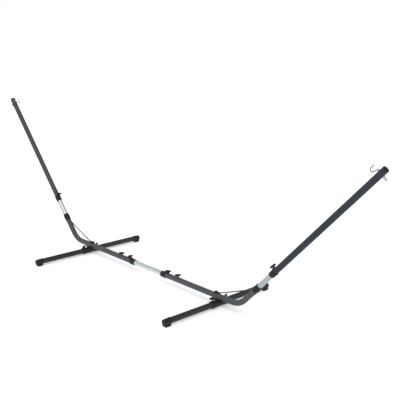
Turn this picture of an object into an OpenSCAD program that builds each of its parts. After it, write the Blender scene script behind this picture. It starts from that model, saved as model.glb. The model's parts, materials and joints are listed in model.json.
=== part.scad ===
// Telescopic hammock stand: two crossbars, a two-sided telescopic beam and two sloping telescopic masts.
// Origin: on the floor, under the middle of the stand. +X runs along the beam, +Z is up. Millimetres.

/* [Tubes] */
// Outside diameter of the powder-coated tubes
outer_d = 42; // [41.5:0.5:42.5]
// Wall of the powder-coated tubes
outer_wall = 1.5; // [1.3:0.1:1.5]
// Outside diameter of the plated inner tubes
inner_d = 38; // [37:0.5:38]
// Wall of the plated inner tubes
inner_wall = 1.5; // [1.2:0.1:2]

/* [Beam] */
// Length of the plated tube that shows between the two beam collars
beam_gap = 321; // [314:1:328]
// Length of the plated centre tube
centre_length = 960; // [900:10:980]
// Distance from the middle of the stand to the start of each bend
bend_start = 893; // [885:1:900]
// Radius of each bend, at the middle of the tube
bend_r = 153; // [150:1:156]
// Distances from the middle of the stand to the inner and outer beam screws
inner_screw_x = 226.5; // [222:0.5:230]
// Distance from the middle of the stand to each outer beam screw
outer_screw_x = 337; // [325:1:345]

/* [Masts] */
// Slope of each mast above the floor
mast_angle = 47.82; // [47.4, 47.53, 47.82]
// Straight length of each socket, from the bend to the end of its collar
socket_length = 186; // [182:1:190]
// Length of the plated tube that shows between socket and mast collar
mast_gap = 141; // [134:1:144]
// Length of each upper mast, from its collar to the top of its cap
mast_length = 1126; // [1100:1:1150]
// Distance from the end of the mast collar to its screw
mast_screw_at = 51.5; // [50:0.5:56]
// Distance from the top of the cap down to the hook
hook_down = 46; // [44:1:60]

/* [Crossbars] */
// Distance from the middle of the stand to each crossbar
cross_x = 767.5; // [764:0.5:772]
// Length of each crossbar over its caps
cross_length = 1050; // [1030:2:1080]
// How much further the left crossbar's halves are drawn out of their sleeve
left_cross_out = 8; // [0:1:14]
// Height of the crossbar's middle above the floor
foot_axis_z = 33; // [29:0.5:35]
// Height of the beam's middle above the crossbar's middle
beam_rise = 44; // [44:0.25:45]
// Distance from the beam to each crossbar screw
foot_screw_y = 67; // [66:1:67]

/* [Hooks] */
// Diameter of the hook's wire
wire_d = 7; // [6:0.5:7]
// Radius of the hook's throat, at the middle of the wire
throat_r = 13; // [12:0.5:15]
// Turn of the right hook about its shank
right_hook_turn = 6; // [0:1:30]
// Turn of the left hook about its shank
left_hook_turn = 20; // [0:1:30]

/* [Screws] */
// Length of each wing
wing_length = 47; // [42:1:50]
// Thickness of each wing
wing_t = 9; // [6:0.5:9]
// Diameter of the screws' studs
stud_d = 8; // [8:0.5:8]

/* [Hidden] */
$fn = 64;

// Tube radii, and the gaps that the fits leave
outer_r = outer_d / 2;
bore_r = outer_r - outer_wall;
inner_r = inner_d / 2;
seat_gap = 0.1;
slide_gap = 0.3;
hole_gap = 0.4;
thread_gap = 0.06;
cut = 1;

// Heights and places that follow from the driving sizes
beam_z = foot_axis_z + beam_rise;
beam_collar_x = beam_gap / 2;
mast_collar_s = socket_length + mast_gap;
mast_top_s = mast_collar_s + mast_length;
mast_screw_s = mast_collar_s + mast_screw_at;
hook_s = mast_top_s - hook_down;
leg_x = bend_start + bend_r * sin(mast_angle);
leg_z = beam_z + bend_r * (1 - cos(mast_angle));
foot_half = cross_length / 2;

// Collars: a chamfered mouth, a sleeve and a bead at the end that grips the tube
collar_r = 24.2;
mouth_chamfer = 2;
bead_r = 25.2;
bead_w = 7;
collar_length = 46;
socket_collar_length = 41;
skirt_r = 22.6;
skirt_length = 20;
collar_lip = 3;
tongue_w = 20;
tongue_top = 27;
boss_r = 12;
boss_top = 28;

// Wing screws: heights are from the middle of the tube that they clamp to the middle of the wing
stud_r = stud_d / 2;
stud_tip = inner_r + hole_gap;
wing_h = 14;
hub_r = 9;
hub_below = 8;
hub_above = 8;
beam_wing_z = 37.5;
low_wing_z = 35;
mast_wing_z = 39;
foot_wing_z = 36.5;
raised_foot_wing_z = 46;
nut_r = 7.5;
nut_base_r = 9.5;
nut_top = 26.5;

// Inner masts, and the rivet that holds each in its socket
inner_mast_from = 20;
inner_mast_to = 720;
rivet_s = 112;
rivet_r = 2.4;
rivet_head_r = 5.5;

// Cross cradle: a sleeve for the crossbar with a seat and two slanting ribs for the beam
sleeve_r = 25.5;
sleeve_ring_r = 26.7;
sleeve_half = 79;
sleeve_ring_from = 52;
sleeve_groove_w = 2.5;
sleeve_groove_r = 24.3;
seat_half_l = 12.5;
seat_half_w = 16.5;
seat_top = -14;
rib_far = 58;
rib_w = 6;
rib_half_w = 9;
rib_top = -16;
rib_root = 8;
lip_l = 14;
lip_bottom = -24;
foot_bore_r = outer_r + 0.25;
foot_boss_r = 10.5;
foot_boss_top = 28;
foot_nut_z = 21.6;
foot_nut_h = 4;
foot_nut_w = 13;
foot_nut_pocket_z = 19;
foot_tube_gap = 12;

// Fixing screws with nuts inside the beam: one lifts the cradle to the beam, one holds the stay
fixing_r = 3;
fixing_nut_r = 5.5;
fixing_nut_h = 5;
fixing_nut_out = 18.6;
fixing_reach = 2;
cradle_head_r = 5.8;
cradle_head_h = 3.6;
cradle_head_top = 20.2;
stay_screw_x = cross_x - 32.5;

// Stay: an eye under the screw, a rod over the bend and a lug welded to the socket
stay_r = 4;
eye_z = 29;
eye_t = 5;
eye_r = 11;
eye_bar_w = 10;
saddle_half = 13;
stay_head_r = 9;
stay_head_skirt = 2.5;
stay_head_rise = 3;
stay_start_x = cross_x + 6;
stay_end_s = 82;
stay_end_off = 31;
stay_end_x = leg_x + stay_end_s * cos(mast_angle) - stay_end_off * sin(mast_angle);
stay_end_z = leg_z + stay_end_s * sin(mast_angle) + stay_end_off * cos(mast_angle);
stay_run = stay_end_x - stay_start_x;
stay_climb = stay_end_z - beam_z - eye_z;
stay_length = sqrt(stay_run * stay_run + stay_climb * stay_climb);
stay_angle = atan2(stay_climb, stay_run);
lug_t = 12;
lug_root = 18;
lug_gap = 0.3;

// Foot caps
cap_r = 23.5;
cap_length = 57;
cap_wall = 4;
cap_chamfer = 4;
pad_w = 42;
pad_l = 50;
pad_inset = 6;
pad_corner = 6;
pad_step = 2;
pad_h = 7;

// Mast caps
dome_r = 42;
dome_skirt = 5;
dome_rise = dome_r - sqrt(dome_r * dome_r - outer_r * outer_r);
plug_length = 25;
plug_wall = 2.5;
mast_tube_end = mast_top_s - dome_skirt - dome_rise;

// Hook, sleeve nut and washers; the run from the elbow to the throat rises at hook_rise
wire_r = wire_d / 2;
hook_rise = atan2(7, 24);
elbow_r = 6;
elbow_z = 24.5;
hook_run = 33;
hook_tip = 26;
run_x = elbow_r * (sin(hook_rise) - 1);
run_z = elbow_z + elbow_r * cos(hook_rise);
throat_x = run_x - hook_run * cos(hook_rise) + throat_r * sin(hook_rise);
throat_z = run_z + hook_run * sin(hook_rise) + throat_r * cos(hook_rise);
washer_r = 8;
washer_t = 3;
sleeve_nut_r = 7.5;
sleeve_nut_length = 27;
shank_end = -44;

/* Placing helpers */

// Mirrors a right-hand piece to the left side
module left() {
    mirror([1, 0, 0]) children();
}

// A frame on the beam: x from the middle of the stand, z from the middle of the tube
module on_beam(x) {
    translate([x, 0, beam_z]) children();
}

// A frame on the socket and mast: x up the tube from the end of the bend, z towards the hammock
module on_leg(s) {
    translate([bend_start, 0, beam_z + bend_r]) rotate([0, -mast_angle, 0])
        translate([s, 0, -bend_r]) children();
}

// A frame on the crossbar: y from the beam, z from the middle of the tube
module on_foot(y) {
    translate([cross_x, y, foot_axis_z]) children();
}

module rod_x(r, h) {
    rotate([0, 90, 0]) cylinder(r = r, h = h);
}

module rod_y(r, h) {
    rotate([-90, 0, 0]) cylinder(r = r, h = h);
}

module rounded_rect(w, l, r) {
    square([w - 2 * r, l], center = true);
    square([w, l - 2 * r], center = true);
    for (x = [-1, 1], y = [-1, 1]) {
        translate([x * (w / 2 - r), y * (l / 2 - r)]) circle(r = r);
    }
}

/* Tubes */

module centre_tube() {
    color("#c3c8ca") translate([-centre_length / 2, 0, beam_z]) difference() {
        rod_x(inner_r, centre_length);
        translate([-cut, 0, 0]) rod_x(inner_r - inner_wall, centre_length + 2 * cut);
    }
}

// The path of the bent tube as a solid rod: beam leg, bend and socket
module bent_rod(r, from_x, to_s) {
    on_beam(from_x) rod_x(r, bend_start - from_x);
    translate([bend_start, 0, beam_z + bend_r]) rotate([90, 0, 0]) rotate([0, 0, -90])
        rotate_extrude(angle = mast_angle) translate([bend_r, 0]) circle(r = r);
    on_leg(0) rod_x(r, to_s);
}

module j_tube() {
    start_x = beam_collar_x + collar_lip;
    end_s = socket_length - collar_lip;
    color("#4a4e52") difference() {
        bent_rod(outer_r, start_x, end_s);
        bent_rod(bore_r, start_x - cut, end_s + cut);
        for (x = [inner_screw_x, outer_screw_x]) {
            on_beam(x) cylinder(r = stud_r + hole_gap, h = outer_d);
        }
        on_beam(stay_screw_x) cylinder(r = fixing_r + hole_gap, h = outer_d);
        on_beam(cross_x) mirror([0, 0, 1]) cylinder(r = fixing_r + hole_gap, h = outer_d);
        on_leg(rivet_s) translate([0, 0, -outer_d]) cylinder(r = rivet_r + seat_gap, h = outer_d);
    }
}

module inner_mast() {
    color("#c3c8ca") on_leg(inner_mast_from) difference() {
        rod_x(inner_r, inner_mast_to - inner_mast_from);
        translate([-cut, 0, 0]) rod_x(inner_r - inner_wall, inner_mast_to);
        translate([rivet_s - inner_mast_from, 0, -outer_d])
            cylinder(r = rivet_r + seat_gap, h = outer_d);
    }
}

module upper_mast() {
    start_s = mast_collar_s + collar_lip;
    color("#4a4e52") difference() {
        on_leg(start_s) rod_x(outer_r, mast_tube_end - start_s);
        on_leg(start_s - cut) rod_x(bore_r, mast_tube_end - start_s + 2 * cut);
        on_leg(mast_screw_s) cylinder(r = stud_r + hole_gap, h = outer_d);
        on_leg(hook_s) cylinder(r = wire_r + hole_gap, h = 2 * outer_d, center = true);
    }
}

// Half of a crossbar: side is -1 for the near half and 1 for the far half
module foot_tube(side, out) {
    length = foot_half - cap_wall - foot_tube_gap;
    from_y = side > 0 ? foot_tube_gap + out : -foot_tube_gap - out - length;
    color("#4a4e52") difference() {
        on_foot(from_y) rod_y(outer_r, length);
        on_foot(from_y - cut) rod_y(bore_r, length + 2 * cut);
    }
}

/* Collars */

// A moulded collar over a tube's end. Its mouth is at x = 0 and the tube runs towards +x.
module collar_body(length) {
    rotate([0, 90, 0]) cylinder(r1 = collar_r - mouth_chamfer, r2 = collar_r, h = mouth_chamfer);
    translate([mouth_chamfer, 0, 0]) rod_x(collar_r, length - mouth_chamfer);
    translate([length - bead_w, 0, 0]) rod_x(bead_r, bead_w);
}

module collar_bore(length) {
    translate([-cut, 0, 0]) rod_x(inner_r + slide_gap, length + 2 * cut);
    translate([collar_lip, 0, 0]) rod_x(outer_r + seat_gap, length);
}

// A collar with a tongue and a boss that stand over a wing screw's nut
module screw_collar(screw_at) {
    color("#26282a") difference() {
        union() {
            collar_body(collar_length);
            translate([collar_length - bead_w, -tongue_w / 2, 0])
                cube([screw_at - collar_length + bead_w, tongue_w, tongue_top]);
            translate([screw_at, 0, 0]) cylinder(r = boss_r, h = boss_top);
        }
        collar_bore(screw_at + boss_r);
        translate([screw_at, 0, 0]) cylinder(r = stud_r + hole_gap, h = boss_top + cut);
        translate([screw_at, 0, 0]) cylinder(r = nut_base_r + seat_gap, h = nut_top + seat_gap);
    }
}

module beam_collar() {
    on_beam(beam_collar_x) screw_collar(inner_screw_x - beam_collar_x);
}

module mast_collar() {
    on_leg(mast_collar_s) screw_collar(mast_screw_at);
}

module socket_collar() {
    on_leg(socket_length) mirror([1, 0, 0]) color("#26282a") difference() {
        union() {
            collar_body(socket_collar_length);
            rod_x(skirt_r, socket_collar_length + skirt_length);
        }
        collar_bore(socket_collar_length + skirt_length);
    }
}

/* Nuts welded over the screw holes */

module weld_nut() {
    color("#9a9da0") difference() {
        union() {
            cylinder(r = nut_r, h = nut_top, $fn = 6);
            cylinder(r = nut_base_r, h = outer_r + cut);
        }
        translate([-outer_d, 0, 0]) rod_x(outer_r + seat_gap / 2, 2 * outer_d);
        cylinder(r = stud_r + thread_gap, h = nut_top + cut);
    }
}

module weld_nuts() {
    for (x = [inner_screw_x, outer_screw_x]) {
        on_beam(x) weld_nut();
    }
}

module mast_nut() {
    on_leg(mast_screw_s) weld_nut();
}

/* Wing screws */

module wing_outline() {
    ear_r = wing_h / 2;
    square([wing_length - 2 * ear_r, wing_h - 2], center = true);
    for (x = [-1, 1]) {
        translate([x * (wing_length / 2 - ear_r), 0]) circle(r = ear_r);
    }
}

// A wing moulded on a stud. tip and middle are heights above the clamped tube's middle.
module wing_screw(tip, middle, turn) {
    color("#1c1d1f") rotate([0, 0, turn]) {
        translate([0, 0, tip]) cylinder(r = stud_r, h = middle - tip);
        translate([0, 0, middle - hub_below]) cylinder(r = hub_r, h = hub_below + hub_above);
        translate([0, 0, middle]) rotate([90, 0, 0])
            linear_extrude(height = wing_t, center = true) wing_outline();
    }
}

module beam_screw(x, middle, turn) {
    on_beam(x) wing_screw(stud_tip, middle, turn);
}

module mast_screw(turn) {
    on_leg(mast_screw_s) wing_screw(stud_tip, mast_wing_z, turn);
}

module foot_screw(side, middle, turn) {
    on_foot(side * foot_screw_y) wing_screw(outer_r + hole_gap, middle, turn);
}

/* Crossing of beam and crossbar */

// A slanting rib on the inner side, from the beam's underside down to the sleeve's side
module rib_outline() {
    root_x = sleeve_r - rib_root;
    polygon([
        [-rib_far, rib_top], [-rib_far + rib_w, rib_top],
        [-root_x, -beam_rise], [-root_x, -beam_rise - rib_root],
    ]);
}

// A full web on the side of the bend
module web_outline() {
    root_x = sleeve_r - rib_root;
    polygon([
        [0, rib_top], [rib_far, rib_top], [root_x, -beam_rise - rib_root], [0, -beam_rise],
    ]);
}

module cradle_body() {
    on_foot(-sleeve_half) rod_y(sleeve_r, 2 * sleeve_half);
    for (side = [-1, 1]) {
        from_y = side > 0 ? sleeve_ring_from : -sleeve_half;
        on_foot(from_y) rod_y(sleeve_ring_r, sleeve_half - sleeve_ring_from);
        on_foot(side * foot_screw_y) cylinder(r = foot_boss_r, h = foot_boss_top);
    }
    on_beam(cross_x) {
        translate([-seat_half_l, -seat_half_w, -beam_rise])
            cube([2 * seat_half_l, 2 * seat_half_w, beam_rise + seat_top]);
        rotate([90, 0, 0]) linear_extrude(height = 2 * rib_half_w, center = true) {
            rib_outline();
            web_outline();
        }
        for (side = [-1, 1]) {
            translate([side * rib_far - lip_l / 2, -rib_half_w, lip_bottom])
                cube([lip_l, 2 * rib_half_w, rib_top - lip_bottom]);
        }
    }
}

module cross_cradle() {
    color("#2e3134") difference() {
        cradle_body();
        on_beam(cross_x - 2 * rib_far) rod_x(outer_r + 0.2, 4 * rib_far);
        on_foot(-sleeve_half - cut) rod_y(foot_bore_r, 2 * sleeve_half + 2 * cut);
        on_foot(0) cylinder(r = fixing_r + hole_gap, h = 2 * outer_d);
        for (side = [-1, 1]) {
            on_foot(side * foot_screw_y) {
                cylinder(r = stud_r + hole_gap, h = foot_boss_top + cut);
                translate([-foot_nut_w / 2 - seat_gap, -foot_nut_w / 2 - seat_gap, foot_nut_pocket_z])
                    cube([foot_nut_w + 2 * seat_gap, foot_nut_w + 2 * seat_gap,
                          foot_nut_z + foot_nut_h + seat_gap - foot_nut_pocket_z]);
            }
            on_foot(side * (sleeve_ring_from - sleeve_groove_w / 2)) rotate([90, 0, 0])
                difference() {
                    cylinder(r = 2 * sleeve_r, h = sleeve_groove_w, center = true);
                    cylinder(r = sleeve_groove_r, h = 2 * sleeve_groove_w, center = true);
                }
        }
    }
}

module cradle_nuts() {
    color("#9a9da0") for (side = [-1, 1]) {
        on_foot(side * foot_screw_y) translate([0, 0, foot_nut_z]) difference() {
            translate([-foot_nut_w / 2, -foot_nut_w / 2, 0])
                cube([foot_nut_w, foot_nut_w, foot_nut_h]);
            translate([0, 0, -cut]) cylinder(r = stud_r + thread_gap, h = foot_nut_h + 2 * cut);
        }
    }
}

// A nut inside the beam, against the wall that faces +z
module fixing_nut() {
    translate([0, 0, fixing_nut_out - fixing_nut_h]) difference() {
        cylinder(r = fixing_nut_r, h = fixing_nut_h);
        translate([0, 0, -cut]) cylinder(r = fixing_r + thread_gap, h = fixing_nut_h + 2 * cut);
    }
}

// A screw from inside the sleeve up into its nut in the beam
module cradle_screw() {
    shank_top = beam_rise - fixing_nut_out + fixing_nut_h + fixing_reach;
    color("#b9bcbe") {
        on_foot(0) translate([0, 0, cradle_head_top - cradle_head_h]) {
            cylinder(r = cradle_head_r, h = cradle_head_h, $fn = 6);
            cylinder(r = fixing_r, h = shank_top - cradle_head_top + cradle_head_h);
        }
        on_beam(cross_x) mirror([0, 0, 1]) fixing_nut();
    }
}

/* Stay */

// A curved seat on top of the beam under the stay's eye
module stay_saddle() {
    color("#2e3134") on_beam(stay_screw_x) difference() {
        translate([-saddle_half, -saddle_half, 0])
            cube([2 * saddle_half, 2 * saddle_half, eye_z - eye_t / 2]);
        translate([-outer_d, 0, 0]) rod_x(outer_r + seat_gap, 2 * outer_d);
        translate([0, 0, -cut]) cylinder(r = fixing_r + hole_gap, h = eye_z);
    }
}

// A screw with a domed head on the eye, into its nut in the beam
module stay_screw() {
    head_from = eye_z + eye_t / 2 + seat_gap;
    ball_r = (stay_head_r * stay_head_r + stay_head_rise * stay_head_rise) / (2 * stay_head_rise);
    shank_from = fixing_nut_out - fixing_nut_h - fixing_reach;
    color("#2a2c2e") on_beam(stay_screw_x) {
        translate([0, 0, shank_from]) cylinder(r = fixing_r, h = head_from - shank_from);
        translate([0, 0, head_from]) cylinder(r = stay_head_r, h = stay_head_skirt);
        translate([0, 0, head_from + stay_head_skirt]) intersection() {
            cylinder(r = stay_head_r, h = stay_head_rise);
            translate([0, 0, stay_head_rise - ball_r]) sphere(r = ball_r);
        }
        fixing_nut();
    }
}

// A frame along the stay: x runs up the rod from the eye's bar
module on_stay(x) {
    on_beam(stay_start_x) translate([0, 0, eye_z]) rotate([0, -stay_angle, 0])
        translate([x, 0, 0]) children();
}

module stay() {
    color("#232527") {
        difference() {
            union() {
                on_beam(stay_screw_x) translate([0, 0, eye_z - eye_t / 2])
                    cylinder(r = eye_r, h = eye_t);
                on_beam(stay_screw_x) translate([0, -eye_bar_w / 2, eye_z - eye_t / 2])
                    cube([stay_start_x - stay_screw_x, eye_bar_w, eye_t]);
                on_beam(stay_start_x) translate([0, 0, eye_z]) sphere(r = stay_r + 1.5);
            }
            on_beam(stay_screw_x) cylinder(r = fixing_r + hole_gap, h = outer_d);
        }
        on_stay(0) rod_x(stay_r, stay_length);
    }
}

// A tapered lug welded to the socket; the rod ends in its bore
module stay_lug() {
    color("#4a4e52") difference() {
        on_leg(0) rotate([90, 0, 0]) linear_extrude(height = lug_t, center = true) polygon([
            [stay_end_s - 26, lug_root], [stay_end_s - 20, stay_end_off + 9],
            [stay_end_s - 12, stay_end_off + 11], [stay_end_s + 4, stay_end_off + 4],
            [stay_end_s + 30, lug_root],
        ]);
        on_leg(0) rod_x(outer_r + seat_gap / 2, socket_length);
        on_stay(0) rod_x(stay_r + seat_gap, stay_length + lug_gap);
    }
}

module socket_rivet() {
    head_h = 2;
    color("#9a9da0") on_leg(rivet_s) mirror([0, 0, 1]) {
        translate([0, 0, inner_r - 4]) cylinder(r = rivet_r, h = outer_r - inner_r + 4 + cut);
        translate([0, 0, outer_r + seat_gap / 2]) cylinder(r = rivet_head_r, h = head_h);
    }
}

/* Foot caps */

// side is -1 for the near end and 1 for the far end; out is how far the half is drawn out
module foot_cap(side, out) {
    end_y = foot_half + out;
    inner_y = end_y - cap_length;
    pad_y = end_y - pad_inset - pad_l / 2;
    turn = side > 0 ? 0 : 180;
    color("#202224") translate([cross_x, 0, foot_axis_z]) rotate([0, 0, turn]) difference() {
        union() {
            translate([0, inner_y, 0]) rod_y(cap_r, cap_length - cap_chamfer);
            translate([0, end_y - cap_chamfer, 0]) rotate([-90, 0, 0])
                cylinder(r1 = cap_r, r2 = cap_r - cap_chamfer, h = cap_chamfer);
            translate([0, pad_y, -foot_axis_z]) linear_extrude(height = pad_h)
                rounded_rect(pad_w, pad_l, pad_corner);
            translate([0, pad_y, -foot_axis_z]) linear_extrude(height = foot_axis_z)
                rounded_rect(pad_w - 2 * pad_step, pad_l - 2 * pad_step, pad_corner - pad_step);
        }
        translate([0, inner_y - cut, 0]) rod_y(outer_r + seat_gap, cap_length - cap_wall + cut);
    }
}

/* Mast top */

module mast_cap() {
    color("#202224") on_leg(mast_tube_end) rotate([0, 90, 0]) {
        difference() {
            translate([0, 0, -plug_length]) cylinder(r = bore_r - seat_gap, h = plug_length);
            translate([0, 0, -plug_length - cut])
                cylinder(r = bore_r - plug_wall, h = plug_length);
        }
        cylinder(r = outer_r, h = dome_skirt);
        translate([0, 0, dome_skirt]) intersection() {
            cylinder(r = outer_r, h = dome_r);
            translate([0, 0, dome_rise - dome_r]) sphere(r = dome_r);
        }
    }
}

// A bend of wire in the hook's own plane, about the point (x, z)
module wire_arc(x, z, r, from, sweep) {
    translate([x, 0, z]) rotate([90, 0, 0]) rotate([0, 0, from])
        rotate_extrude(angle = sweep) translate([r, 0]) circle(r = wire_r);
}

// Shank through the mast, elbow, rising run, throat and open tip
module hook(turn) {
    color("#a9adb0") on_leg(hook_s) rotate([0, 0, -turn]) {
        translate([0, 0, shank_end]) cylinder(r = wire_r, h = elbow_z - shank_end);
        wire_arc(-elbow_r, elbow_z, elbow_r, 0, 90 - hook_rise);
        translate([-elbow_r, 0, elbow_z]) rotate([0, hook_rise, 0])
            translate([-hook_run, 0, elbow_r]) rod_x(wire_r, hook_run);
        wire_arc(throat_x, throat_z, throat_r, 90, 180 - hook_rise);
        translate([throat_x, 0, throat_z + throat_r]) rod_x(wire_r, hook_tip);
        translate([throat_x + hook_tip, 0, throat_z + throat_r]) sphere(r = wire_r);
    }
}

module hook_nut() {
    color("#b9bcbe") on_leg(hook_s) mirror([0, 0, 1])
        translate([0, 0, outer_r + washer_t + seat_gap]) difference() {
            cylinder(r = sleeve_nut_r, h = sleeve_nut_length);
            translate([0, 0, -cut]) cylinder(r = wire_r + thread_gap, h = sleeve_nut_length + 2 * cut);
        }
}

// Saddle washers on both sides of the mast
module hook_washers() {
    color("#b9bcbe") on_leg(hook_s) for (side = [0, 1]) {
        mirror([0, 0, side]) difference() {
            cylinder(r = washer_r, h = outer_r + washer_t);
            translate([-outer_d, 0, 0]) rod_x(outer_r + seat_gap / 2, 2 * outer_d);
            cylinder(r = wire_r + seat_gap, h = outer_d);
        }
    }
}

/* Drawing */

centre_tube();

j_tube();  // right_j_tube
beam_collar();  // right_beam_collar
socket_collar();  // right_socket_collar
weld_nuts();  // right_weld_nuts
stay_lug();  // right_stay_lug
stay();  // right_stay
stay_saddle();  // right_stay_saddle
stay_screw();  // right_stay_screw
cross_cradle();  // right_cross_cradle
cradle_screw();  // right_cradle_screw
cradle_nuts();  // right_cradle_nuts
foot_tube(-1, 0);  // right_foot_tube_near
foot_tube(1, 0);  // right_foot_tube_far
foot_cap(-1, 0);  // right_foot_cap_near
foot_cap(1, 0);  // right_foot_cap_far
inner_mast();  // right_inner_mast
socket_rivet();  // right_socket_rivet
upper_mast();  // right_upper_mast
mast_collar();  // right_mast_collar
mast_nut();  // right_mast_nut
mast_cap();  // right_mast_cap
hook(right_hook_turn);  // right_hook
hook_nut();  // right_hook_nut
hook_washers();  // right_hook_washers
beam_screw(inner_screw_x, beam_wing_z, 31);  // right_beam_screw_inner
beam_screw(outer_screw_x, beam_wing_z, 63);  // right_beam_screw_outer
mast_screw(25);  // right_mast_screw
foot_screw(-1, raised_foot_wing_z, 45);  // right_foot_screw_near
foot_screw(1, foot_wing_z, 110);  // right_foot_screw_far

left() j_tube();  // left_j_tube
left() beam_collar();  // left_beam_collar
left() socket_collar();  // left_socket_collar
left() weld_nuts();  // left_weld_nuts
left() stay_lug();  // left_stay_lug
left() stay();  // left_stay
left() stay_saddle();  // left_stay_saddle
left() stay_screw();  // left_stay_screw
left() cross_cradle();  // left_cross_cradle
left() cradle_screw();  // left_cradle_screw
left() cradle_nuts();  // left_cradle_nuts
left() foot_tube(-1, left_cross_out);  // left_foot_tube_near
left() foot_tube(1, left_cross_out);  // left_foot_tube_far
left() foot_cap(-1, left_cross_out);  // left_foot_cap_near
left() foot_cap(1, left_cross_out);  // left_foot_cap_far
left() inner_mast();  // left_inner_mast
left() socket_rivet();  // left_socket_rivet
left() upper_mast();  // left_upper_mast
left() mast_collar();  // left_mast_collar
left() mast_nut();  // left_mast_nut
left() mast_cap();  // left_mast_cap
left() hook(left_hook_turn);  // left_hook
left() hook_nut();  // left_hook_nut
left() hook_washers();  // left_hook_washers
left() beam_screw(inner_screw_x, beam_wing_z, 95);  // left_beam_screw_inner
left() beam_screw(outer_screw_x, low_wing_z, 135);  // left_beam_screw_outer
left() mast_screw(100);  // left_mast_screw
left() foot_screw(-1, foot_wing_z, 60);  // left_foot_screw_near
left() foot_screw(1, foot_wing_z, 45);  // left_foot_screw_far
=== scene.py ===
"""Looks of the hammock stand: collars, caps, hand screws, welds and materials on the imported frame."""

import json
import math

import bmesh
import bpy
from mathutils import Matrix, Vector


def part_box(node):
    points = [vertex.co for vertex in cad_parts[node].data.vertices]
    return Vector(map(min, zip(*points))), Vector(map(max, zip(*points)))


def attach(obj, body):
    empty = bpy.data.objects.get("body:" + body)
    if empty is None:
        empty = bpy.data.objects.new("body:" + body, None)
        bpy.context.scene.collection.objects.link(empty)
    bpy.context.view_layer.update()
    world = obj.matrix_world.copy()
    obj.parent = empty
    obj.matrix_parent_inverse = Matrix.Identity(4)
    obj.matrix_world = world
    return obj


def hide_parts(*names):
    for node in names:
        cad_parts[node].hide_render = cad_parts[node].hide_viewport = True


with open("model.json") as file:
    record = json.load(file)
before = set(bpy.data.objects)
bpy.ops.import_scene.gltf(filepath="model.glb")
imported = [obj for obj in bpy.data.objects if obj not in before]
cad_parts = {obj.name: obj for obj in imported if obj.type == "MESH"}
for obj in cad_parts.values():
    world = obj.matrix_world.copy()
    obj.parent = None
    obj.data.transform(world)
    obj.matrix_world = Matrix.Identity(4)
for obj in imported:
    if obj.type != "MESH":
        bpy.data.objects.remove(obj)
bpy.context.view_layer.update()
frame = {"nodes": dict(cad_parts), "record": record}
NODES = frame["nodes"]
MM = 0.001

SIDES = ("right", "left")

# The camera at the photograph's viewing angle: metres in the part's frame, radians, and millimetres of film
CAM_AT = Vector((3.89782, -3.33412, 1.94492))
CAM_YAW, CAM_PITCH, CAM_ROLL = 0.7878815, -0.2504725, 0.0293016
CAM_LENS, CAM_SENSOR = 62.44, 36
CAM_REACH = 60


def place_camera():
    flat = math.cos(CAM_PITCH)
    ahead = Vector((-math.sin(CAM_YAW) * flat, math.cos(CAM_YAW) * flat, math.sin(CAM_PITCH)))
    level = Vector((math.cos(CAM_YAW), math.sin(CAM_YAW), 0))
    above = level.cross(ahead)
    right = math.cos(CAM_ROLL) * level + math.sin(CAM_ROLL) * above
    up = math.cos(CAM_ROLL) * above - math.sin(CAM_ROLL) * level
    camera = bpy.data.objects.new("camera", bpy.data.cameras.new("camera"))
    bpy.context.scene.collection.objects.link(camera)
    turn = Matrix((right, up, -ahead)).transposed().to_4x4()
    camera.matrix_world = Matrix.Translation(CAM_AT) @ turn
    camera.data.lens = CAM_LENS
    camera.data.sensor_width = CAM_SENSOR
    camera.data.clip_end = CAM_REACH
    bpy.context.scene.camera = camera


place_camera()

# The part's own sizes, in millimetres. The x axis runs along the beam, and s along a leg from its bend
ANGLE = math.radians(47.82)
BEND_X, BEND_R = 893, 153
FOOT_Z, BEAM_Z = 33, 77
CROSS_X = 767.5
OUTER_R = 21
COLLAR_X, COLLAR_S, SOCKET_S, TOP_S = 160.5, 327, 186, 1453
SCREW_AT = {"beam_screw_inner": 226.5, "beam_screw_outer": 337, "mast_screw": 378.5}
FOOT_SCREW_Y = 67
STAY_TILT = math.radians(18.7)
SLOT_OF = {row["node"]: row["material_slot"] for row in frame["record"]["subparts"]}

# Collars and caps: their bore over a coated tube, their lip over a plated tube, and the steps outside
SEAT_R, LIP_R = 21.1, 19.3
MOUTH_R, SLEEVE_R, GROOVE_R, BEAD_R = 22.6, 24.2, 23.8, 25.2
OVER_TUBE_R = 21.08


def side_matrix(side):
    return Matrix.Diagonal((-1, 1, 1, 1)) if side == "left" else Matrix.Identity(4)


def on_beam(side, x):
    """The place at x on the beam, with z up from the tube's middle."""
    return side_matrix(side) @ Matrix.Translation((x, 0, BEAM_Z))


def on_leg(side, s):
    """The place at s on the leg or mast, with x along it and z out of its upper side."""
    bend = Matrix.Translation((BEND_X, 0, BEAM_Z + BEND_R)) @ Matrix.Rotation(-ANGLE, 4, "Y")
    return side_matrix(side) @ bend @ Matrix.Translation((s, 0, -BEND_R))


def on_foot(side, y, flip=False):
    """The place at y on the crossbar, which flip turns end for end."""
    spin = Matrix.Rotation(math.pi, 4, "Z") if flip else Matrix.Identity(4)
    crossbar = side_matrix(side) @ Matrix.Translation((CROSS_X, 0, FOOT_Z))
    return crossbar @ spin @ Matrix.Translation((0, y, 0))


# ---------- materials ----------

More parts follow.
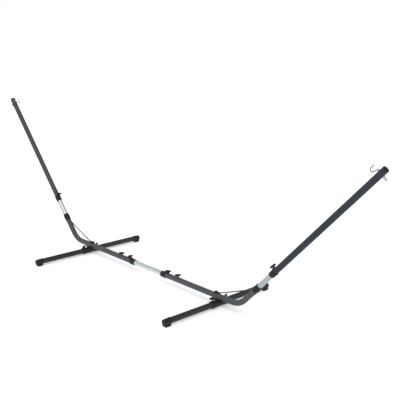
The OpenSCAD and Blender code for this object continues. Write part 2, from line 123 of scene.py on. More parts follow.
class Nodes:
    """Short calls for building one material's node tree."""

    def __init__(self, name):
        self.material = bpy.data.materials.new(name)
        self.material.use_nodes = True
        self.tree = self.material.node_tree
        self.shader = self.tree.nodes["Principled BSDF"]
        coords = self.tree.nodes.new("ShaderNodeTexCoord")
        self.place = coords.outputs["Object"]

    def node(self, kind, **settings):
        made = self.tree.nodes.new(kind)
        for key, value in settings.items():
            setattr(made, key, value)
        return made

    def link(self, out, into):
        self.tree.links.new(out, into)

    def along(self, angle, stretch, axis=0):
        """Coordinates turned so that x runs along a tube, then stretched along it."""
        turned = self.node("ShaderNodeMapping")
        turned.inputs["Rotation"].default_value = (0, angle, 0)
        self.link(self.place, turned.inputs["Vector"])
        scaled = self.node("ShaderNodeMapping")
        sizes = [1, 1, 1]
        sizes[axis] = stretch
        scaled.inputs["Scale"].default_value = sizes
        self.link(turned.outputs["Vector"], scaled.inputs["Vector"])
        return scaled.outputs["Vector"]

    def noise(self, scale, detail=3, vector=None, rough=0.55):
        made = self.node("ShaderNodeTexNoise")
        made.inputs["Scale"].default_value = scale
        made.inputs["Detail"].default_value = detail
        made.inputs["Roughness"].default_value = rough
        self.link(vector or self.place, made.inputs["Vector"])
        return made.outputs["Fac"]

    def cells(self, scale, vector=None):
        made = self.node("ShaderNodeTexVoronoi")
        made.inputs["Scale"].default_value = scale
        self.link(vector or self.place, made.inputs["Vector"])
        return made.outputs["Distance"]

    def ramp(self, value, stops):
        made = self.node("ShaderNodeValToRGB")
        bar = made.color_ramp
        while len(bar.elements) < len(stops):
            bar.elements.new(0.5)
        for element, (at, colour) in zip(bar.elements, stops):
            element.position = at
            shade = colour if isinstance(colour, tuple) else (colour, colour, colour)
            element.color = (*shade, 1)
        self.link(value, made.inputs["Fac"])
        return made.outputs["Color"]

    def spread(self, value, low, high, to_low, to_high):
        made = self.node("ShaderNodeMapRange")
        for key, number in (("From Min", low), ("From Max", high), ("To Min", to_low), ("To Max", to_high)):
            made.inputs[key].default_value = number
        self.link(value, made.inputs["Value"])
        return made.outputs["Result"]

    def mix(self, factor, a, b, blend="MIX"):
        made = self.node("ShaderNodeMix", data_type="RGBA", blend_type=blend)
        for socket, value in (("Factor", factor), ("A", a), ("B", b)):
            inputs = [s for s in made.inputs if s.name == socket and s.enabled]
            if isinstance(value, (int, float)):
                inputs[0].default_value = value
            elif isinstance(value, tuple):
                inputs[0].default_value = (*value, 1)
            else:
                self.link(value, inputs[0])
        return [s for s in made.outputs if s.enabled][0]

    def math(self, operation, a, b=0.0):
        made = self.node("ShaderNodeMath", operation=operation)
        for socket, value in zip(made.inputs, (a, b)):
            if isinstance(value, (int, float)):
                socket.default_value = value
            else:
                self.link(value, socket)
        return made.outputs[0]

    def bumps(self, layers, edge=0.0):
        """Stacks bumps of (height, strength, distance); edge rounds the shading of sharp corners."""
        normal = None
        if edge:
            rounded = self.node("ShaderNodeBevel", samples=6)
            rounded.inputs["Radius"].default_value = edge
            normal = rounded.outputs["Normal"]
        for height, strength, distance in layers:
            made = self.node("ShaderNodeBump")
            made.inputs["Strength"].default_value = strength
            made.inputs["Distance"].default_value = distance
            self.link(height, made.inputs["Height"])
            if normal is not None:
                self.link(normal, made.inputs["Normal"])
            normal = made.outputs["Normal"]
        self.link(normal, self.shader.inputs["Normal"])

    def edges(self, radius):
        """Where a sharp edge is near: the rounded normal leaves the surface's own."""
        rounded = self.node("ShaderNodeBevel", samples=6)
        rounded.inputs["Radius"].default_value = radius
        surface = self.node("ShaderNodeNewGeometry")
        agree = self.node("ShaderNodeVectorMath", operation="DOT_PRODUCT")
        self.link(rounded.outputs["Normal"], agree.inputs[0])
        self.link(surface.outputs["Normal"], agree.inputs[1])
        return self.spread(agree.outputs["Value"], 0.985, 0.90, 0, 1)

    def set(self, **values):
        for key, value in values.items():
            socket = self.shader.inputs[key.replace("_", " ")]
            if isinstance(value, (int, float)):
                socket.default_value = value
            elif isinstance(value, tuple):
                socket.default_value = (*value, 1)
            else:
                self.link(value, socket)
        return self.material


def powder_coat(name, angle, deep, light, seed, gloss=0.30):
    """Satin anthracite powder coat: orange peel, faint mottling, fine rubbed lines, greyed edges."""
    n = Nodes(name)
    bare = (0.12, 0.127, 0.132)
    tube = n.along(angle, 0.06)
    mottle = n.noise(9 + seed, 4)
    grain = n.noise(1400, 2)
    peel = n.noise(420, 3)
    streaks = n.noise(260, 4, tube, 0.7)
    base = n.ramp(mottle, [(0.32, deep), (0.68, light)])
    fine = n.ramp(grain, [(0.35, 0.80), (0.72, 1.16)])
    base = n.mix(1.0, base, fine, "MULTIPLY")
    patches = n.spread(n.noise(14, 3), 0.50, 0.66, 0, 0.25)
    rubbed = n.math("MULTIPLY", n.spread(streaks, 0.62, 0.78, 0, 1), patches)
    base = n.mix(rubbed, base, tuple(c * 1.8 for c in light))
    worn = n.math("MULTIPLY", n.edges(0.0007), n.spread(n.noise(160, 3), 0.40, 0.62, 0, 0.5))
    base = n.mix(worn, base, bare)
    polish = n.spread(streaks, 0.3, 0.8, -0.05, 0.08)
    rough = n.math("ADD", n.spread(mottle, 0.3, 0.7, 0.40, 0.52), polish)
    n.bumps([(peel, 0.22, 0.0006), (grain, 0.16, 0.0003), (streaks, 0.05, 0.0003)], 0.0005)
    return n.set(Base_Color=base, Roughness=rough, Specular_IOR_Level=gloss)


def plated_tube(name, angle, tint=(1.0, 1.0, 1.0)):
    """Zinc-plated steel tube: lengthwise drawing marks, soft cloudy tint and a few scuffs from sliding."""
    n = Nodes(name)
    scuff_grey = (0.40, 0.41, 0.42)
    tube = n.along(angle, 0.018)
    lines = n.noise(900, 3, tube, 0.6)
    bands = n.noise(120, 2, tube, 0.5)
    cloud = n.noise(16, 4)
    base = n.ramp(bands, [(0.30, (0.38, 0.41, 0.43)), (0.70, (0.60, 0.64, 0.66))])
    base = n.mix(0.35, base, n.ramp(cloud, [(0.35, (0.42, 0.46, 0.50)), (0.68, (0.60, 0.62, 0.60))]))
    rubs = n.noise(380, 4, n.along(angle, 0.05), 0.7)
    scuffs = n.math("MULTIPLY", n.spread(rubs, 0.63, 0.74, 0, 1), 0.35)
    base = n.mix(scuffs, base, scuff_grey)
    # tint scales each tube's colour: painted light and shade (lighter or darker per tube), with a slightly
    # bluer cast on the right tube
    base = n.mix(1.0, base, tint, "MULTIPLY")
    haze = n.spread(cloud, 0.3, 0.7, -0.02, 0.06)
    rough = n.math("ADD", n.spread(lines, 0.25, 0.75, 0.30, 0.42), haze)
    n.bumps([(lines, 0.10, 0.0002), (n.noise(700, 2), 0.04, 0.0002)])
    return n.set(Base_Color=base, Roughness=rough, Metallic=0.92, Anisotropic=0.35)


def moulded(name, deep, light, edge, grain_size=1900, rough=(0.44, 0.60)):
    """Moulded black plastic: fine spark-eroded grain, flow clouding, greyed edges and light scratches."""
    n = Nodes(name)
    scratch_grey, edge_grey = (0.055, 0.057, 0.06), (0.045, 0.047, 0.050)
    grain = n.cells(grain_size)
    fine = n.noise(2600, 2)
    flow = n.noise(38, 4)
    base = n.ramp(flow, [(0.30, deep), (0.70, light)])
    base = n.mix(1.0, base, n.ramp(fine, [(0.3, 0.78), (0.72, 1.22)]), "MULTIPLY")
    scratch = n.noise(240, 5, n.along(0.6, 0.09), 0.75)
    marks = n.spread(scratch, 0.66, 0.76, 0, 0.5)
    base = n.mix(marks, base, scratch_grey)
    worn = n.math("MULTIPLY", n.edges(0.0006), n.spread(n.noise(210, 3), 0.38, 0.60, 0.1, 0.5))
    base = n.mix(worn, base, edge_grey)
    roughness = n.math("ADD", n.spread(flow, 0.3, 0.7, *rough), n.math("MULTIPLY", marks, 0.12))
    n.bumps([(grain, 0.20, 0.0003), (fine, 0.15, 0.0002), (scratch, 0.03, 0.0002)], edge)
    return n.set(Base_Color=base, Roughness=roughness, Specular_IOR_Level=0.22)


def zinc(name, angle, axis=0, deep=(0.13, 0.133, 0.13), light=(0.42, 0.425, 0.415)):
    """Zinc on wire and fittings: drawn lines, spangle, a cloudy dark film and a few specks of rust."""
    n = Nodes(name)
    rust_brown = (0.24, 0.17, 0.11)
    lines = n.noise(1500, 3, n.along(angle, 0.03, axis), 0.65)
    spangle = n.cells(240)
    film = n.noise(70, 4)
    shade = n.math("ADD", n.math("MULTIPLY", lines, 0.6), n.math("MULTIPLY", film, 0.4))
    base = n.ramp(shade, [(0.36, deep), (0.62, light)])
    base = n.mix(0.22, base, n.ramp(spangle, [(0.1, 0.26), (0.7, 0.55)]))
    rust = n.spread(n.noise(130, 5, None, 0.7), 0.70, 0.80, 0, 0.5)
    base = n.mix(rust, base, rust_brown)
    n.bumps([(lines, 0.14, 0.0002), (spangle, 0.06, 0.0002)], 0.0004)
    return n.set(Base_Color=base, Roughness=n.spread(film, 0.3, 0.7, 0.30, 0.48), Metallic=0.9)


def black_steel(name, angle):
    """Black-coated steel rod: thin coat with lengthwise draw marks, rubbed brighter here and there."""
    n = Nodes(name)
    rub_grey, edge_grey = (0.07, 0.072, 0.075), (0.08, 0.082, 0.085)
    lines = n.noise(1300, 3, n.along(angle, 0.03), 0.6)
    patch = n.noise(90, 4)
    base = n.ramp(patch, [(0.3, (0.005, 0.0053, 0.006)), (0.7, (0.012, 0.0125, 0.0135))])
    rub = n.math("MULTIPLY", n.spread(lines, 0.60, 0.74, 0, 1), n.spread(patch, 0.5, 0.7, 0, 0.5))
    base = n.mix(rub, base, rub_grey)
    worn = n.math("MULTIPLY", n.edges(0.0006), n.spread(patch, 0.4, 0.6, 0.1, 0.6))
    base = n.mix(worn, base, edge_grey)
    n.bumps([(lines, 0.10, 0.0002), (n.noise(1100, 2), 0.12, 0.0002)], 0.0004)
    rough = n.spread(patch, 0.3, 0.7, 0.34, 0.50)
    return n.set(Base_Color=base, Roughness=rough, Specular_IOR_Level=0.28)


# Each skin: its name, what makes it, and then that function's values after the name
SKINS = {name: make(name, *values) for name, make, *values in (
    # coat_beam, coat_right, coat_left and coat_foot are one powder coat, shaded differently by region as
    # painted light and shade: brightest on the beam, a little darker on the left leg, darker on the right
    # leg, darkest on the crossbars
    ("coat_beam", powder_coat, 0, (0.052, 0.058, 0.066), (0.065, 0.0725, 0.083), 0),
    ("coat_right", powder_coat, ANGLE, (0.029, 0.035, 0.043), (0.036, 0.0435, 0.053), 1, 0.11),
    ("coat_left", powder_coat, -ANGLE, (0.041, 0.047, 0.054), (0.051, 0.059, 0.067), 2),
    ("coat_foot", powder_coat, 0, (0.025, 0.028, 0.0305), (0.032, 0.0355, 0.0385), 3, 0.17),
    # tube_centre, tube_right and tube_left are one plated tube; the centre tube is made lighter and the
    # right one darker as painted light and shade
    ("tube_centre", plated_tube, 0, (1.18, 1.20, 1.16)),
    ("tube_right", plated_tube, ANGLE, (0.80, 0.83, 0.86)),
    ("tube_left", plated_tube, -ANGLE),
    ("plastic", moulded, (0.008, 0.0084, 0.010), (0.017, 0.018, 0.021), 0.0),
    ("plastic_cad", moulded, (0.009, 0.0105, 0.0135), (0.017, 0.0195, 0.025), 0.0011),
    ("plastic_wing", moulded, (0.004, 0.0042, 0.0045), (0.009, 0.0095, 0.010), 0.0, 2300, (0.42, 0.56)),
    # zinc_right, zinc_left and zinc_nut are one zinc shaded per place as painted light and shade: darker on
    # the right mast's fittings, lighter on the left ones, lightest on the right hook's nut
    ("zinc_right", zinc, ANGLE, 0, (0.075, 0.077, 0.074), (0.25, 0.255, 0.245)),
    ("zinc_left", zinc, -ANGLE, 0, (0.10, 0.103, 0.10), (0.32, 0.325, 0.315)),
    ("zinc_nut", zinc, ANGLE, 0, (0.20, 0.21, 0.20), (0.56, 0.58, 0.56)),
    ("zinc_plain", zinc, 0),
    # The stud's zinc is darkened well below the other zinc: painted shade under the wing's hub
    ("zinc_stud_shaded", zinc, 0, 2, (0.03, 0.031, 0.032), (0.12, 0.122, 0.12)),
    ("stay_right", black_steel, STAY_TILT),
    ("stay_left", black_steel, -STAY_TILT),
)}


def skin_for(node):
    side = "left" if node.startswith("left") else "right"
    slot = SLOT_OF[node]
    # Each side and the crossbars take their own shade of the one coat: painted light and shade
    if slot == "powder_coat":
        if "foot" in node:
            return SKINS["coat_foot"]
        return SKINS["coat_beam"] if "j_tube" in node or "weld_nuts" in node else SKINS["coat_" + side]
    if slot == "plated_tube":
        return SKINS["tube_centre"] if node == "centre_tube" else SKINS["tube_" + side]
    if slot == "zinc":
        # The right hook's nut and the hooks and rivets on each mast take these zinc copies with painted
        # light and shade
        if node == "right_hook_nut":
            return SKINS["zinc_nut"]
        on_mast = any(word in node for word in ("hook", "mast", "rivet"))
        return SKINS["zinc_" + side] if on_mast else SKINS["zinc_plain"]
    if slot == "black_steel":
        return SKINS["stay_" + side]
    return SKINS["plastic_cad"]


for name, thing in NODES.items():
    thing.data.materials.clear()
    thing.data.materials.append(skin_for(name))


# ---------- mesh helpers ----------

# Steps round the big turned pieces, the hubs and the bosses
AROUND, AROUND_HUB, AROUND_BOSS = 96, 48, 64


def finish_piece(name, bm, matrix, body, skin, node=None, smooth=38):
    """Puts a mesh made in local millimetres into the part's frame and lets it ride on its body."""
    bm.transform(Matrix.Scale(MM, 4) @ matrix)
    bmesh.ops.remove_doubles(bm, verts=bm.verts, dist=1e-7)
    bmesh.ops.recalc_face_normals(bm, faces=bm.faces)
    mesh = bpy.data.meshes.new(name)
    bm.to_mesh(mesh)
    bm.free()
    mesh.shade_smooth()
    mesh.set_sharp_from_angle(angle=math.radians(smooth))
    mesh.materials.append(SKINS[skin])
    piece = bpy.data.objects.new(name, mesh)
    bpy.context.scene.collection.objects.link(piece)
    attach(piece, body)
    if node:
        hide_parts(node)
    return piece


def fillet(points, radii, steps=5):
    """Rounds the corners of a closed outline; radii has one number for each point."""
    out = []
    count = len(points)
    for i, (point, radius) in enumerate(zip(points, radii)):
        here = Vector(point)
        if not radius:
            out.append(tuple(here))
            continue
        to_last = Vector(points[i - 1]) - here
        to_next = Vector(points[(i + 1) % count]) - here
        half = to_last.angle(to_next) / 2
        reach = min(radius / math.tan(half), 0.49 * to_last.length, 0.49 * to_next.length)
        radius = reach * math.tan(half)
        a, b = to_last.normalized(), to_next.normalized()
        centre = here + (a + b).normalized() * (radius / math.sin(half))
        start, end = here + a * reach - centre, here + b * reach - centre
        for k in range(steps + 1):
            out.append(tuple(centre + start.slerp(end, k / steps)))
    return out


def lathe(bm, profile, turns, axis="X"):
    """Revolves a closed outline of (along, radius) points about the local x, y or z axis."""
    rings = []
    for k in range(turns):
        a = 2 * math.pi * k / turns
        ring = []
        for along, radius in profile:
            c, s = radius * math.cos(a), radius * math.sin(a)
            at = {"X": (along, c, s), "Y": (c, along, s), "Z": (c, s, along)}[axis]
            ring.append(bm.verts.new(at))
        rings.append(ring)
    for k in range(turns):
        one, two = rings[k], rings[(k + 1) % turns]
        for i in range(len(profile)):
            j = (i + 1) % len(profile)
            if profile[i][1] > 1e-6 or profile[j][1] > 1e-6:
                bm.faces.new((one[i], one[j], two[j], two[i]))
    bmesh.ops.remove_doubles(bm, verts=bm.verts, dist=1e-4)
    bmesh.ops.dissolve_degenerate(bm, dist=1e-5, edges=bm.edges)


def prism(bm, outline, low, high, bevel, plane="XZ", segments=3):
    """A plate from an outline, from low to high along the third axis, with rounded rims."""
    def at(p, w):
        return {"XZ": (p[0], w, p[1]), "XY": (p[0], p[1], w), "YZ": (w, p[0], p[1])}[plane]
    first = [bm.verts.new(at(p, low)) for p in outline]
    second = [bm.verts.new(at(p, high)) for p in outline]
    faces = [bm.faces.new(first), bm.faces.new(second[::-1])]
    count = len(outline)
    for i in range(count):
        faces.append(bm.faces.new((first[i], first[(i + 1) % count], second[(i + 1) % count], second[i])))
    if bevel:
        rims = [e for f in faces[:2] for e in f.edges]
        bmesh.ops.bevel(bm, geom=rims, offset=bevel, segments=segments, profile=0.5, affect="EDGES")


def grid_block(bm, xs, ys, bottom, top):
    """A block over a grid of x and y, whose underside and top are functions of (x, y)."""
    low = [[bm.verts.new((x, y, bottom(x, y))) for y in ys] for x in xs]
    high = [[bm.verts.new((x, y, top(x, y))) for y in ys] for x in xs]
    for i in range(len(xs) - 1):
        for j in range(len(ys) - 1):
            bm.faces.new((low[i][j], low[i][j + 1], low[i + 1][j + 1], low[i + 1][j]))
            bm.faces.new((high[i][j], high[i + 1][j], high[i + 1][j + 1], high[i][j + 1]))
    rim = [(i, 0) for i in range(len(xs))] + [(len(xs) - 1, j) for j in range(1, len(ys))]
    rim += [(i, len(ys) - 1) for i in range(len(xs) - 2, -1, -1)]
    rim += [(0, j) for j in range(len(ys) - 2, 0, -1)]
    for (a, b), (c, d) in zip(rim, rim[1:] + rim[:1]):
        bm.faces.new((low[a][b], low[c][d], high[c][d], high[a][b]))


def thread(bm, crest, root, low, high, pitch=1.25, turns=24, per_pitch=8):
    """A helical thread about the local z axis, with a flat end at its root on both sides."""
    levels = max(2, int((high - low) / pitch * per_pitch))
    rows = []
    for i in range(levels + 1):
        z = low + (high - low) * i / levels
        row = []
        for k in range(turns):
            phase = (z / pitch - k / turns) % 1.0
            radius = root + (crest - root) * (1 - abs(2 * phase - 1))
            if i in (0, levels):
                radius = root
            a = 2 * math.pi * k / turns
            row.append(bm.verts.new((radius * math.cos(a), radius * math.sin(a), z)))
        rows.append(row)
    for one, two in zip(rows, rows[1:]):
        for k in range(turns):
            bm.faces.new((one[k], one[(k + 1) % turns], two[(k + 1) % turns], two[k]))
    bm.faces.new(rows[0][::-1])
    bm.faces.new(rows[-1])


# ---------- wing screws ----------

# Heights above the middle of the tube that a screw stands on
STUD_TIP, FOOT_STUD_TIP = 19.4, 21.4
MAST_WING = 39

# The wing with its two ears, the hub between them, and the stud's thread
WING_LENGTH, WING_THICKNESS, WING_RIM = 47, 9, 1.7
EAR_R, WAIST = 7.0, 5.2
HUB_R, HUB_HALF = 9.0, 8
CREST_R, ROOT_R = 4.0, 3.4
STUD_IN_HUB = 2


def wing_outline():
    """A two-eared wing seen from the side: narrow beside the hub, round at the ears."""
    centre = WING_LENGTH / 2 - EAR_R
    round_end = []
    for k in range(15):
        a = math.radians(132 - 264 * k / 14)
        round_end.append((centre + EAR_R * math.cos(a), EAR_R * math.sin(a)))
    upper = [(5.0, 6.9), (8.0, 6.1), (11.0, WAIST)]
    lower = [(x, -z) for x, z in reversed(upper)]
    half = upper + round_end + lower
    return half + [(-x, -z) for x, z in half]


def thin_towards_ears(bm):
    start, length, loss = 8, 14, 0.16
    for v in bm.verts:
        v.co.y *= 1.0 - loss * min(1.0, max(0.0, (abs(v.co.x) - start) / length))


def hub_outline():
    """Section of the hub: a shallow dish on top, and a pocket below that the stud goes into."""
    dish, pocket, pocket_r = HUB_HALF - 0.8, -5.0, 4.3
    hub = [(-HUB_HALF, pocket_r), (-HUB_HALF, HUB_R), (HUB_HALF, HUB_R), (HUB_HALF, 2.6)]
    hub += [(dish, 2.0), (dish, 0.0), (pocket, 0.0), (pocket, pocket_r)]
    return fillet(hub, [0, 1.0, 2.2, 0.4, 0.3, 0, 0, 0])


def wing_screw(node, matrix, tip, middle, degrees):
    """A hand screw on the body of its own name: its stud starts at tip and its wing is at middle."""
    placed = matrix @ Matrix.Rotation(math.radians(degrees), 4, "Z")
    bm = bmesh.new()
    outline = [(x, z + middle) for x, z in wing_outline()]
    prism(bm, outline, -WING_THICKNESS / 2, WING_THICKNESS / 2, WING_RIM)
    thin_towards_ears(bm)
    lathe(bm, [(z + middle, r) for z, r in hub_outline()], AROUND_HUB, "Z")
    finish_piece(node + "_wing", bm, placed, node, "plastic_wing", node)
    bm = bmesh.new()
    thread(bm, CREST_R, ROOT_R, tip, middle - HUB_HALF + STUD_IN_HUB)
    # The stud takes the darkened zinc: painted shade under the hub
    finish_piece(node + "_stud", bm, placed, node, "zinc_stud_shaded", None, 60)


def beam_wing(side, which, middle, degrees):
    matrix = on_beam(side, SCREW_AT["beam_screw_" + which])
    wing_screw(f"{side}_beam_screw_{which}", matrix, STUD_TIP, middle, degrees)


def mast_wing(side, degrees):
    matrix = on_leg(side, SCREW_AT["mast_screw"])
    wing_screw(side + "_mast_screw", matrix, STUD_TIP, MAST_WING, degrees)


def foot_wing(side, end, middle, degrees):
    y = FOOT_SCREW_Y if end == "far" else -FOOT_SCREW_Y
    wing_screw(f"{side}_foot_screw_{end}", on_foot(side, y), FOOT_STUD_TIP, middle, degrees)


beam_wing("right", "inner", 37.5, 31)
beam_wing("right", "outer", 37.5, 63)
beam_wing("left", "inner", 37.5, 95)
beam_wing("left", "outer", 35, 135)
mast_wing("right", 25)
mast_wing("left", 100)
foot_wing("right", "near", 46, 45)
foot_wing("right", "far", 36.5, 110)
foot_wing("left", "near", 36.5, 60)
foot_wing("left", "far", 36.5, 45)


# ---------- collars ----------

COLLAR_LENGTH, SOCKET_LENGTH, BEAD_LENGTH = 46, 41, 7
BEAM_BOSS_AT, MAST_BOSS_AT = 66, 51.5


def collar_profile(length):
    """Section of a collar: rounded mouth, sleeve with a fine groove, bead at the coated tube's end."""
    lip = 3
    points = [(0, LIP_R), (0, MOUTH_R), (1.8, SLEEVE_R)]
    points += [(length - 12, SLEEVE_R), (length - 11.6, GROOVE_R)]
    points += [(length - 10.8, GROOVE_R), (length - 10.4, SLEEVE_R)]
    points += [(length - BEAD_LENGTH, SLEEVE_R), (length - BEAD_LENGTH + 0.4, BEAD_R)]
    points += [(length - 0.6, BEAD_R), (length, 24.6)]
    points += [(length, SEAT_R), (lip, SEAT_R), (lip, LIP_R)]
    radii = [0.4, 0.9, 1.6] + [0] * 4 + [0.3, 0.7, 0.8, 0.4] + [0.2, 0, 0]
    return fillet(points, radii, 4)


def tongue(bm, start, stop):
    """The raised strip from the collar's bead to its boss, with softened sides."""
    half, flat, top, fall = 10, 8.6, 27, 0.9

    def crown(x, y):
        past = max(0.0, abs(y) - flat)
        return top - fall * (past / (half - flat)) ** 2

    def tube(x, y):
        return math.sqrt(OVER_TUBE_R ** 2 - y * y)
    xs = [start + (stop - start) * k / 6 for k in range(7)]
    beside = [3, 6, 8.8, 9.6, half]
    ys = [-y for y in reversed(beside)] + [0] + beside
    grid_block(bm, xs, ys, tube, crown)


def boss(bm, at):
    """The round boss over the screw's nut, whose foot is cut to the tube."""
    foot, top, boss_r = 20.0, 28, 12.0
    ring = fillet([(foot, 4.5), (foot, boss_r), (top, boss_r), (top, 4.4)], [0, 0, 1.5, 0.5])
    turned = bmesh.new()
    lathe(turned, ring, AROUND_BOSS, "Z")
    for v in turned.verts:
        if v.co.z < foot + 0.5:
            v.co.z = math.sqrt(max(0.0, OVER_TUBE_R ** 2 - v.co.y ** 2))
        v.co.x += at
    spare = bpy.data.meshes.new("spare")
    turned.to_mesh(spare)
    turned.free()
    bm.from_mesh(spare)
    bpy.data.meshes.remove(spare)


def screw_collar(node, body, matrix, screw_at):
    """A collar with a raised tongue that ends in a round boss over the screw's nut."""
    bm = bmesh.new()
    lathe(bm, collar_profile(COLLAR_LENGTH), AROUND)
    tongue(bm, COLLAR_LENGTH - BEAD_LENGTH, screw_at)
    boss(bm, screw_at)
    finish_piece(node + "_shell", bm, matrix, body, "plastic", node)


def socket_collar(side):
    """The collar at the leg's upper end, turned about, with a skirt that reaches down the leg."""
    node = side + "_socket_collar"
    bm = bmesh.new()
    lathe(bm, collar_profile(SOCKET_LENGTH), AROUND)
    start, stop = SOCKET_LENGTH - 3, SOCKET_LENGTH + 20
    skirt = [(start, SEAT_R), (start, MOUTH_R), (stop, MOUTH_R), (stop, SEAT_R)]
    lathe(bm, fillet(skirt, [0, 0, 0.9, 0.3]), AROUND)
    matrix = on_leg(side, SOCKET_S) @ Matrix.Diagonal((-1, 1, 1, 1))
    finish_piece(node + "_shell", bm, matrix, side + "_base", "plastic", node)


for side in SIDES:
    screw_collar(side + "_beam_collar", side + "_base", on_beam(side, COLLAR_X), BEAM_BOSS_AT)
    screw_collar(side + "_mast_collar", side + "_mast", on_leg(side, COLLAR_S), MAST_BOSS_AT)
    socket_collar(side)


# ---------- caps ----------

def mast_cap(side):
    """A domed plug: rim flush with the tube, shallow dome, tapered shank inside the tube."""
    node = side + "_mast_cap"
    dome_r, skirt, shank, steps = 42, 5, 25, 12
    rise = dome_r - math.sqrt(dome_r ** 2 - OUTER_R ** 2)
    seat = TOP_S - skirt - rise
    arc = []
    for k in range(steps + 1):
        y = (OUTER_R - 1.2) * (1 - k / steps)
        arc.append((skirt + math.sqrt(dome_r ** 2 - y * y) - (dome_r - rise), y))
    shell = [(-shank, 0), (-shank, 18.2), (3 - shank, 19.2), (0, LIP_R)]
    shell += [(0, OUTER_R - 0.3), (0.4, OUTER_R), (skirt - 0.4, OUTER_R), (skirt + 0.3, OUTER_R - 0.35)]
    bm = bmesh.new()
    lathe(bm, shell + arc, AROUND)
    finish_piece(node + "_dome", bm, on_leg(side, seat), side + "_mast", "plastic", node)


def foot_sleeve(bm, mouth, tip):
    """The part round the crossbar: a bead at its mouth, and a softened closed end."""
    bead_r, sleeve_r, wall = 24.1, 23.5, 4
    shell = [(mouth, SEAT_R), (mouth, bead_r - 1), (mouth + 0.7, bead_r)]
    shell += [(mouth + 4.6, bead_r), (mouth + 5.4, sleeve_r), (tip - 5, sleeve_r)]
    shell += [(tip - 1.2, 20.4), (tip, 16.5), (tip, 0), (tip - wall, 0), (tip - wall, SEAT_R)]
    radii = [0.3, 0.6, 0.8, 0.8, 0.5, 3.2, 2.4, 2.5, 0, 0, 0]
    lathe(bm, fillet(shell, radii, 5), AROUND, "Y")


PAD_X, PAD_Y = 21, 25


def foot_pad(bm, middle):
    """The broad pad on the floor, the block that carries the sleeve, and five ribs across it."""
    low, high, corner = -FOOT_Z, -FOOT_Z + 7, 6
    outline = [(-PAD_X, middle - PAD_Y), (PAD_X, middle - PAD_Y)]
    outline += [(PAD_X, middle + PAD_Y), (-PAD_X, middle + PAD_Y)]
    prism(bm, fillet(outline, [corner] * 4, 6), low, high, 1.1, "XY")
    x, y = 19.0, 23.0
    xs = [-x, -x + 0.5, -x + 1.6] + [k * 2.2 for k in range(-7, 8)] + [x - 1.6, x - 0.5, x]
    ys = [middle - y + 2 * y * k / 4 for k in range(5)]
    sunk = 1
    inside_sleeve_r = 22.4
    grid_block(bm, xs, ys, lambda a, b: high - sunk, lambda a, b: -math.sqrt(inside_sleeve_r ** 2 - a * a))
    rib_x, rib_low, rib_high = 19.8, -25, -13
    for k in range(-2, 3):
        one, two = middle + 9 * k - 1.2, middle + 9 * k + 1.2
        rib = fillet([(one, rib_low), (two, rib_low), (two, rib_high), (one, rib_high)], [0.8] * 4, 3)
        prism(bm, rib, -rib_x, rib_x, 0.4, "YZ", 2)


def foot_cap(side, end):
    """A moulded foot: the sleeve over the crossbar's end, and the stepped pad under it."""
    node = f"{side}_foot_cap_{end}"
    length, overhang = 57, 6
    low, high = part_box(node)
    tip = max(-low.y, high.y) / MM
    bm = bmesh.new()
    foot_sleeve(bm, tip - length, tip)
    foot_pad(bm, tip - overhang - PAD_Y)
    matrix = on_foot(side, 0, end == "near")
    finish_piece(node + "_shell", bm, matrix, side + "_base", "plastic", node)


for side in SIDES:
    mast_cap(side)
    for end in ("near", "far"):
        foot_cap(side, end)


# ---------- welds ----------

def weld_bead(name, body, skin, points, radius):
    """A rippled fillet weld along points in the part's frame, tapered at its two ends."""
    bm = bmesh.new()
    rows = []
    sides, last = 10, len(points) - 1
    for i, p in enumerate(points):
        way = points[min(i + 1, last)] - points[max(i - 1, 0)]
        across = way.to_track_quat("Z", "Y").to_matrix()
        wave = 1 + 0.14 * math.sin(i * 2.1)
        taper = 0.35 if i in (0, last) else 1
        row = []
        for k in range(sides):
            a = 2 * math.pi * k / sides
            local = Vector((math.cos(a), math.sin(a), 0)) * radius * wave * taper
            row.append(bm.verts.new(p + across @ local))
        rows.append(row)
    for one, two in zip(rows, rows[1:]):
        for k in range(sides):
            bm.faces.new((one[k], one[(k + 1) % sides], two[(k + 1) % sides], two[k]))
    bm.faces.new(rows[0][::-1])
    bm.faces.new(rows[-1])
    finish_piece(name, bm, Matrix.Identity(4), body, skin, None, 80)


def lug_welds(side):
    """The two beads along the stay's lug, one on each side of it."""
    beside, start, length = 6.4, 57, 54
    for edge, y in (("front", -beside), ("back", beside)):
        z = math.sqrt(OUTER_R ** 2 - y * y) + 0.2
        line = [on_leg(side, start + k) @ Vector((0, y, z)) for k in range(length + 1)]
        weld_bead(f"{side}_lug_weld_{edge}", side + "_base", "coat_" + side, line, 1.7)


def nut_weld(side):
    """The bead round the weld nut under the beam's outer screw."""
    ring_r, steps = 9.9, 48
    place = on_beam(side, SCREW_AT["beam_screw_outer"])
    ring = []
    for k in range(steps + 1):
        a = 2 * math.pi * k / steps
        x, y = ring_r * math.cos(a), ring_r * math.sin(a)
        ring.append(place @ Vector((x, y, math.sqrt(OUTER_R ** 2 - y * y) + 0.3)))
    weld_bead(side + "_nut_weld", side + "_base", "coat_beam", ring, 1.3)


for side in SIDES:
    lug_welds(side)
for side in SIDES:
    nut_weld(side)


# ---------- floor, light ----------

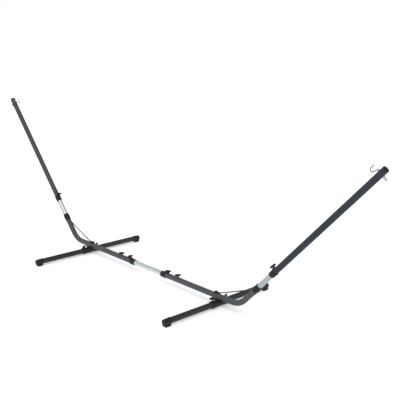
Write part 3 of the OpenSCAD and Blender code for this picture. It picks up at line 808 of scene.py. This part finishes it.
def floor():
    """A wide pale floor, just under the feet."""
    reach, drop = 400, 0.0005
    bm = bmesh.new()
    bmesh.ops.create_grid(bm, x_segments=8, y_segments=8, size=reach)
    mesh = bpy.data.meshes.new("floor")
    bm.to_mesh(mesh)
    bm.free()
    n = Nodes("floor")
    tone = n.ramp(n.noise(0.8, 3), [(0.3, (0.93, 0.93, 0.93)), (0.7, (0.95, 0.95, 0.95))])
    n.bumps([(n.noise(60, 2), 0.02, 0.001)])
    n.set(Base_Color=tone, Roughness=0.9, Specular_IOR_Level=0.0)
    n.set(Emission_Color=tone, Emission_Strength=0.30)
    mesh.materials.append(n.material)
    ground = bpy.data.objects.new("floor", mesh)
    ground.location = (0, 0, -drop)
    bpy.context.scene.collection.objects.link(ground)


def soft_sun(name, direction, strength, spread):
    """A broad soft light from far away, so that the floor is lit evenly."""
    data = bpy.data.lights.new(name, "SUN")
    data.energy = strength
    data.angle = math.radians(spread)
    lamp = bpy.data.objects.new(name, data)
    lamp.rotation_euler = Vector(direction).to_track_quat("-Z", "Y").to_euler()
    bpy.context.scene.collection.objects.link(lamp)


def studio_world():
    """White near the horizon, softer above, so that tubes get a gradient round their section."""
    world = bpy.data.worlds.new("studio")
    bpy.context.scene.world = world
    world.use_nodes = True
    tree = world.node_tree
    coords = tree.nodes.new("ShaderNodeTexCoord")
    parts = tree.nodes.new("ShaderNodeSeparateXYZ")
    fade = tree.nodes.new("ShaderNodeMapRange")
    fade.interpolation_type = "SMOOTHSTEP"
    for key, value in (("From Min", 0.10), ("From Max", 0.60), ("To Min", 1.0), ("To Max", 0.42)):
        fade.inputs[key].default_value = value
    tree.links.new(coords.outputs["Generated"], parts.inputs["Vector"])
    tree.links.new(parts.outputs["Z"], fade.inputs["Value"])
    background = tree.nodes["Background"]
    background.inputs["Color"].default_value = (1, 1, 1, 1)
    tree.links.new(fade.outputs["Result"], background.inputs["Strength"])


floor()
soft_sun("key", (-0.55, 0.60, -0.95), 1.5, 50)
soft_sun("fill", (0.7, 0.1, -0.8), 0.5, 80)
studio_world()
bpy.context.scene.view_settings.view_transform = "Standard"
